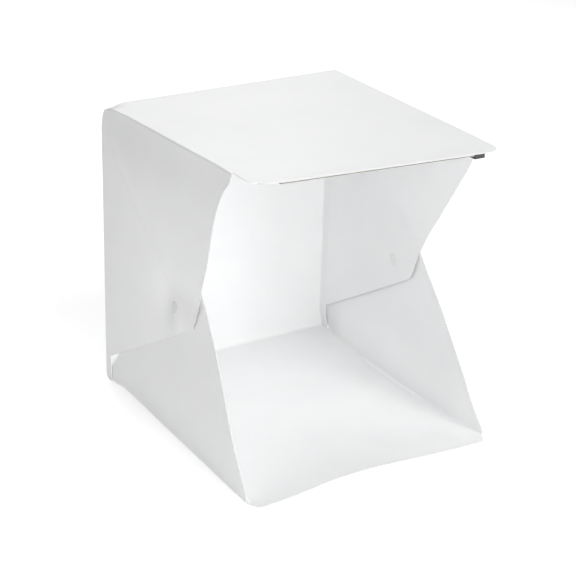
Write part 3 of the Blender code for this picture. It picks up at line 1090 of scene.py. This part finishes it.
def make_magnet(node, body, surface_of, side, layer):
    """The sheet's skin over a magnet disc, which stands up a little on both faces. Its colour is
    painted a little darker, as the shade the disc casts through the sheet.
    """
    rings, spokes = 7, 40
    reach = np.linspace(0, 1, rings + 1)
    swell = np.clip((1 - reach) * COVER_SLOPE, 0, 1)
    half = SHEET / 2 - COVER_TUCK + (MAGNET_PROUD + COVER_TUCK) * swell
    turn = np.linspace(0, 2 * math.pi, spokes, endpoint=False)
    grid = np.zeros((rings + 1, spokes, 2))
    grid[..., 0] = MAGNET_Y + MAGNET_RADIUS * reach[:, None] * np.cos(turn)
    grid[..., 1] = MAGNET_Z + MAGNET_RADIUS * reach[:, None] * np.sin(turn)
    points, normals = surface_points(surface_of(side, layer), grid)
    upper = (points + normals * half[:, None, None])[1:].reshape(-1, 3)
    lower = (points - normals * half[:, None, None])[1:].reshape(-1, 3)
    middle_up = points[0, 0] + normals[0, 0] * half[0]
    middle_low = points[0, 0] - normals[0, 0] * half[0]
    vertices = np.concatenate([upper, lower, [middle_up, middle_low]])
    count = rings * spokes
    faces = []
    for k in range(spokes):
        m = (k + 1) % spokes
        faces.append((2 * count, k, m))
        faces.append((2 * count + 1, count + m, count + k))
        for i in range(rings - 1):
            a, b = i * spokes, (i + 1) * spokes
            faces.append((a + k, b + k, b + m, a + m))
            faces.append((count + a + m, count + b + m, count + b + k, count + a + k))
        edge = (rings - 1) * spokes
        faces.append((edge + k, count + edge + k, count + edge + m, edge + m))
    made = solid(node + "_cover", vertices, faces)
    dress(made, magnet_shade_look, body, [node])
    settles(made)


# LED bar and socket


def bar_surface(level):
    """A level layer of the bar, raised with the top above it."""

    def surface(u, v):
        return u, v, level + lift(u, v)

    return surface


def bar_plate(name, level, thickness, end, inset, corner, material, slot, node):
    """The tape or the board: a strip with rounded corners, in one material."""
    left, right = BAR_LEFT + inset, end - inset
    near, far = BAR_FRONT + inset, BAR_FRONT + BAR_DEPTH - inset
    corners = [(left, near), (right, near), (right, far), (left, far)]
    grid = patch(rounded([(u, v, corner) for u, v in corners]), corners, BAR_CELL)
    made = sheet(name, grid, bar_surface(level), thickness=thickness, cut_index=0)
    return dress(made, material, "top", [node])


def add_box(form, size, middle, bevel, index):
    """A bevelled box in a bmesh, with the material of that index."""
    place = Matrix.Translation(middle) @ Matrix.Diagonal((*size, 1))
    made = bmesh.ops.create_cube(form, size=1, matrix=place)
    edges = list(dict.fromkeys(e for v in made["verts"] for e in v.link_edges))
    faces = {f for v in made["verts"] for f in v.link_faces}
    result = bmesh.ops.bevel(form, geom=edges, offset=bevel, segments=2, affect="EDGES")
    faces = {f for f in faces if f.is_valid} | set(result["faces"])
    faces |= {f for v in result["verts"] for f in v.link_faces}
    for face in faces:
        face.material_index = index


def add_disc(form, radius, height, middle, index):
    """A disc in a bmesh, narrower at its lower face, with the material of that index."""
    made = bmesh.ops.create_cone(
        form,
        cap_ends=True,
        segments=20,
        radius1=radius,
        radius2=radius * PHOSPHOR_TAPER,
        depth=height,
        matrix=Matrix.Translation(middle) @ Matrix.Rotation(math.pi, 4, "X"),
    )
    for face in {f for v in made["verts"] for f in v.link_faces}:
        face.material_index = index


def bar_rise(place):
    """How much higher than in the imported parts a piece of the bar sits."""
    return float(lift(place.x, place.y)) - sprung(place.y) + BAR_RAISED


def make_bar():
    level = UNDERSIDE - BAR_GAP - TAPE_THICKNESS / 2
    looks = tape_look, "foam_tape", "led_tape"
    bar_plate("bar_tape", level, TAPE_THICKNESS, TAPE_RIGHT, TAPE_INSET, TAPE_CORNER, *looks)
    level -= TAPE_THICKNESS / 2 + BAR_GAP + BOARD_THICKNESS / 2
    looks = board_look, "board_white", "led_board"
    bar_plate("bar_board", level, BOARD_THICKNESS, BOARD_RIGHT, 0, BOARD_CORNER, *looks)

    form = bmesh.new()
    names = [f"led_{k:02d}" for k in range(1, LED_COUNT + 1)]
    for name in names:
        low, high = (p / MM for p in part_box(name))
        middle = (low + high) / 2
        size = high - low
        middle.z += bar_rise(middle)
        case = size.x - CASE_TRIM, size.y, size.z
        add_box(form, case, middle, CASE_BEVEL, CASE_INDEX)
        leg_size = LEG_LENGTH, size.y * LEG_WIDTH_SHARE, LEG_HEIGHT
        for end in (-1, 1):
            leg = Vector((end * (size.x / 2 - LEG_LENGTH / 2), 0, size.z / 2 - LEG_HEIGHT / 2))
            add_box(form, leg_size, middle + leg, LEG_BEVEL, LEG_INDEX)
        below = middle - Vector((0, 0, size.z / 2 + PHOSPHOR_DROP))
        add_disc(form, PHOSPHOR_RADIUS, PHOSPHOR_DEPTH, below, PHOSPHOR_INDEX)
    made = placed("bar_leds", mesh_from(form, "bar_leds", MM))
    dress(made, case_look, "top", names)
    made.data.materials.append(phosphor_look)
    made.data.materials.append(steel_look)

    socket = {
        "socket_housing": (black_look, "black_plastic"),
        "usb_shell": (steel_look, "shell_steel"),
        "usb_tongue": (black_look, "black_plastic"),
    }
    socket.update({f"usb_contact_{k}": (gold_look, "contact_gold") for k in range(1, 6)})
    low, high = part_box("socket_housing")
    middle = (low + high) / 2 / MM
    shift = Vector((0, 0, bar_rise(middle))) * MM
    for node, (material, slot) in socket.items():
        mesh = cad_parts[node].data.copy()
        mesh.transform(Matrix.Translation(shift))
        made = placed(node + "_lifted", mesh)
        dress(made, material, "top", [node])


# Stage, light and camera


def make_stage():
    """The white ground, which glows a little, so that it comes out white."""
    form = bmesh.new()
    bmesh.ops.create_grid(form, x_segments=2, y_segments=2, size=STAGE_HALF)
    mesh = mesh_from(form, "stage_floor")
    ground = placed("stage_floor", mesh)
    nodes = Nodes("stage_white", (0.97, 0.97, 0.97), 0.9)
    nodes.shader.inputs["Specular IOR Level"].default_value = 0
    nodes.shader.inputs["Emission Color"].default_value = (1, 1, 1, 1)
    nodes.shader.inputs["Emission Strength"].default_value = STAGE_GLOW
    mesh.materials.append(nodes.made)


def area_light(name, place, target, size, power):
    light = bpy.data.lights.new(name, "AREA")
    light.shape = "RECTANGLE"
    light.size, light.size_y = size
    light.energy = power
    made = placed(name, light)
    made.location = place
    made.rotation_euler = (Vector(target) - Vector(place)).to_track_quat("-Z", "Y").to_euler()


def make_light():
    world = bpy.data.worlds.new("studio")
    bpy.context.scene.world = world
    world.use_nodes = True
    background = world.node_tree.nodes["Background"]
    background.inputs["Color"].default_value = (1, 1, 1, 1)
    background.inputs["Strength"].default_value = WORLD_STRENGTH
    middle, lower = (0, 0, 0.12), (0, 0, 0.1)
    area_light("low_right_softbox", (1.0, -1.4, 0.5), middle, size=(1.0, 0.9), power=13.5)
    area_light("low_left_softbox", (-0.6, -1.6, 0.5), middle, size=(1.0, 0.9), power=13.2)
    area_light("high_softbox", (0.25, -1.1, 1.25), lower, size=(1.0, 1.0), power=14.8)
    area_light("left_softbox", (-0.9, -0.9, 1.0), lower, size=(1.0, 1.0), power=1.7)
    area_light("rear_softbox", (0.3, 1.2, 1.2), lower, size=(1.2, 1.2), power=14.8)


def make_camera():
    data = bpy.data.cameras.new("camera")
    data.lens = CAMERA_LENS
    data.sensor_width = 36
    data.clip_start = 0.05
    data.dof.use_dof = False
    made = placed("camera", data)
    made.location = CAMERA_PLACE
    made.rotation_euler = tuple(math.radians(a) for a in CAMERA_TURN)
    bpy.context.scene.camera = made


make_camera()
make_light()
make_stage()
make_panels()
make_flap("left_flap", LEFT, layer=0)
make_flap("right_flap", RIGHT, layer=1)
make_gusset("left_gusset", LEFT, layer=1)
make_gusset("right_gusset", RIGHT, layer=0)
make_magnet("left_flap_magnet", "left_flap", flap_surface, LEFT, layer=0)
make_magnet("right_flap_magnet", "right_flap", flap_surface, RIGHT, layer=1)
make_magnet("left_gusset_magnet", "left_gusset_rear", gusset_surface, LEFT, layer=1)
make_magnet("right_gusset_magnet", "right_gusset_rear", gusset_surface, RIGHT, layer=0)
make_bar()

view = bpy.context.scene.view_settings
view.view_transform = "Standard"
view.look = "None"
